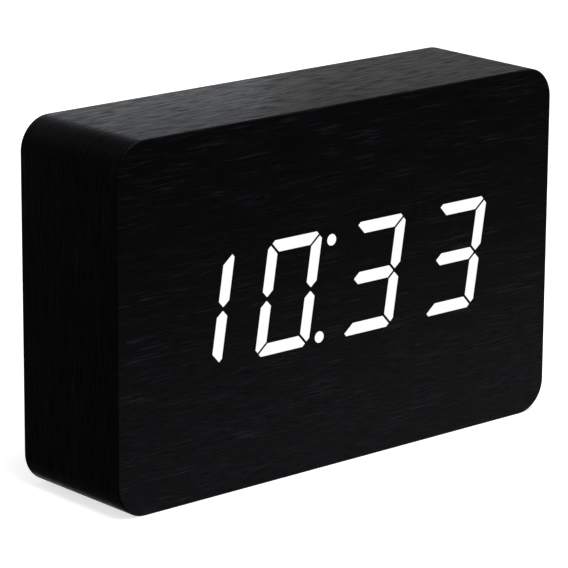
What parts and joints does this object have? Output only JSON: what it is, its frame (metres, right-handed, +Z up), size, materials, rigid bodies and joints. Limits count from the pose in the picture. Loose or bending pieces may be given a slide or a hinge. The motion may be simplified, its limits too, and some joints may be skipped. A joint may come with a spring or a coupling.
{
  "type": "digital alarm clock",
  "caption": "Brick-shaped digital alarm clock: black veneered case with rounded long edges, slanted seven-segment digits lit through the front, rear panel with buttons and battery door.",
  "frame": {"origin": "centre of the underside of the case, on the surface that it stands on", "axes": "+X to the right seen from the front, -Y out of the front face with the digits, +Z up"},
  "size_m": [0.155, 0.04, 0.1],
  "materials": {
    "veneer": "black-stained open-grain veneer, satin",
    "lit_digits": "white light through the veneer",
    "fibreboard": "raw fibreboard",
    "black_film": "opaque film",
    "white_plastic": "moulded white",
    "diffuser": "milky resin",
    "led_chip": "phosphor resin",
    "circuit_board": "green solder mask",
    "chip_black": "moulded resin",
    "connector_ivory": "moulded nylon",
    "ribbon_grey": "ribbon insulation",
    "screw_steel": "zinc plated",
    "contact_steel": "nickel plated",
    "capacitor_sleeve": "shrink sleeve",
    "panel_black": "fine spark texture",
    "button_black": "satin moulding",
    "plunger_tan": "moulded nylon",
    "cell_jacket": "plain printed jacket over steel",
    "lead_red": "wire insulation",
    "lead_black": "wire insulation"
  },
  "bodies": {
    "case": {"case_frame": "fibreboard", "front_board": "fibreboard", "rear_board": "fibreboard", "front_veneer": "veneer", "wrap_veneer": "veneer", "base_veneer": "veneer", "rear_veneer": "veneer", "lit_segments": "lit_digits", "light_mask": "black_film", "reflector": "white_plastic", "segment_diffusers": "diffuser", "leds": "led_chip", "display_board": "circuit_board", "driver_chip": "chip_black", "display_screws": "screw_steel", "display_socket": "connector_ivory", "ribbon_cable": "ribbon_grey", "control_socket": "connector_ivory", "rear_panel": "panel_black", "panel_screws": "screw_steel", "control_board": "circuit_board", "board_screws": "screw_steel", "mcu_chip": "chip_black", "crystal_can": "contact_steel", "capacitor": "capacitor_sleeve", "coin_holder": "panel_black", "coin_cell": "contact_steel", "buzzer": "chip_black", "microphone": "contact_steel", "tact_switches": "chip_black", "sound_switch_body": "contact_steel", "usb_shell": "contact_steel", "usb_tongue": "chip_black", "aaa_cell_1": "cell_jacket", "aaa_cell_2": "cell_jacket", "aaa_cell_3": "cell_jacket", "aaa_cell_4": "cell_jacket", "contact_plates": "contact_steel", "contact_springs": "contact_steel", "battery_lead_positive": "lead_red", "battery_lead_negative": "lead_black"},
    "set_key": {"set_button": "button_black", "set_plunger": "plunger_tan"},
    "up_key": {"up_button": "button_black", "up_plunger": "plunger_tan"},
    "down_key": {"down_button": "button_black", "down_plunger": "plunger_tan"},
    "sound_slider": {"sound_switch_slider": "button_black"},
    "door": {"battery_door": "panel_black"}
  },
  "joints": [
    {"name": "set_press", "type": "slide", "parent": "case", "child": "set_key", "axis": [0, -1, 0], "range_m": [0, 0.0005], "stiffness_N_per_m": 200, "springref_m": -0.002},
    {"name": "up_press", "type": "slide", "parent": "case", "child": "up_key", "axis": [0, -1, 0], "range_m": [0, 0.0005], "stiffness_N_per_m": 200, "springref_m": -0.002},
    {"name": "down_press", "type": "slide", "parent": "case", "child": "down_key", "axis": [0, -1, 0], "range_m": [0, 0.0005], "stiffness_N_per_m": 200, "springref_m": -0.002},
    {"name": "sound_switch_slide", "type": "slide", "parent": "case", "child": "sound_slider", "axis": [1, 0, 0], "range_m": [0, 0.002]},
    {"name": "door_hinge", "type": "hinge", "parent": "case", "child": "door", "pos_m": [0.0496, 0.0184, 0.05], "axis": [0, 0, -1], "range_deg": [0, 100]}
  ]
}
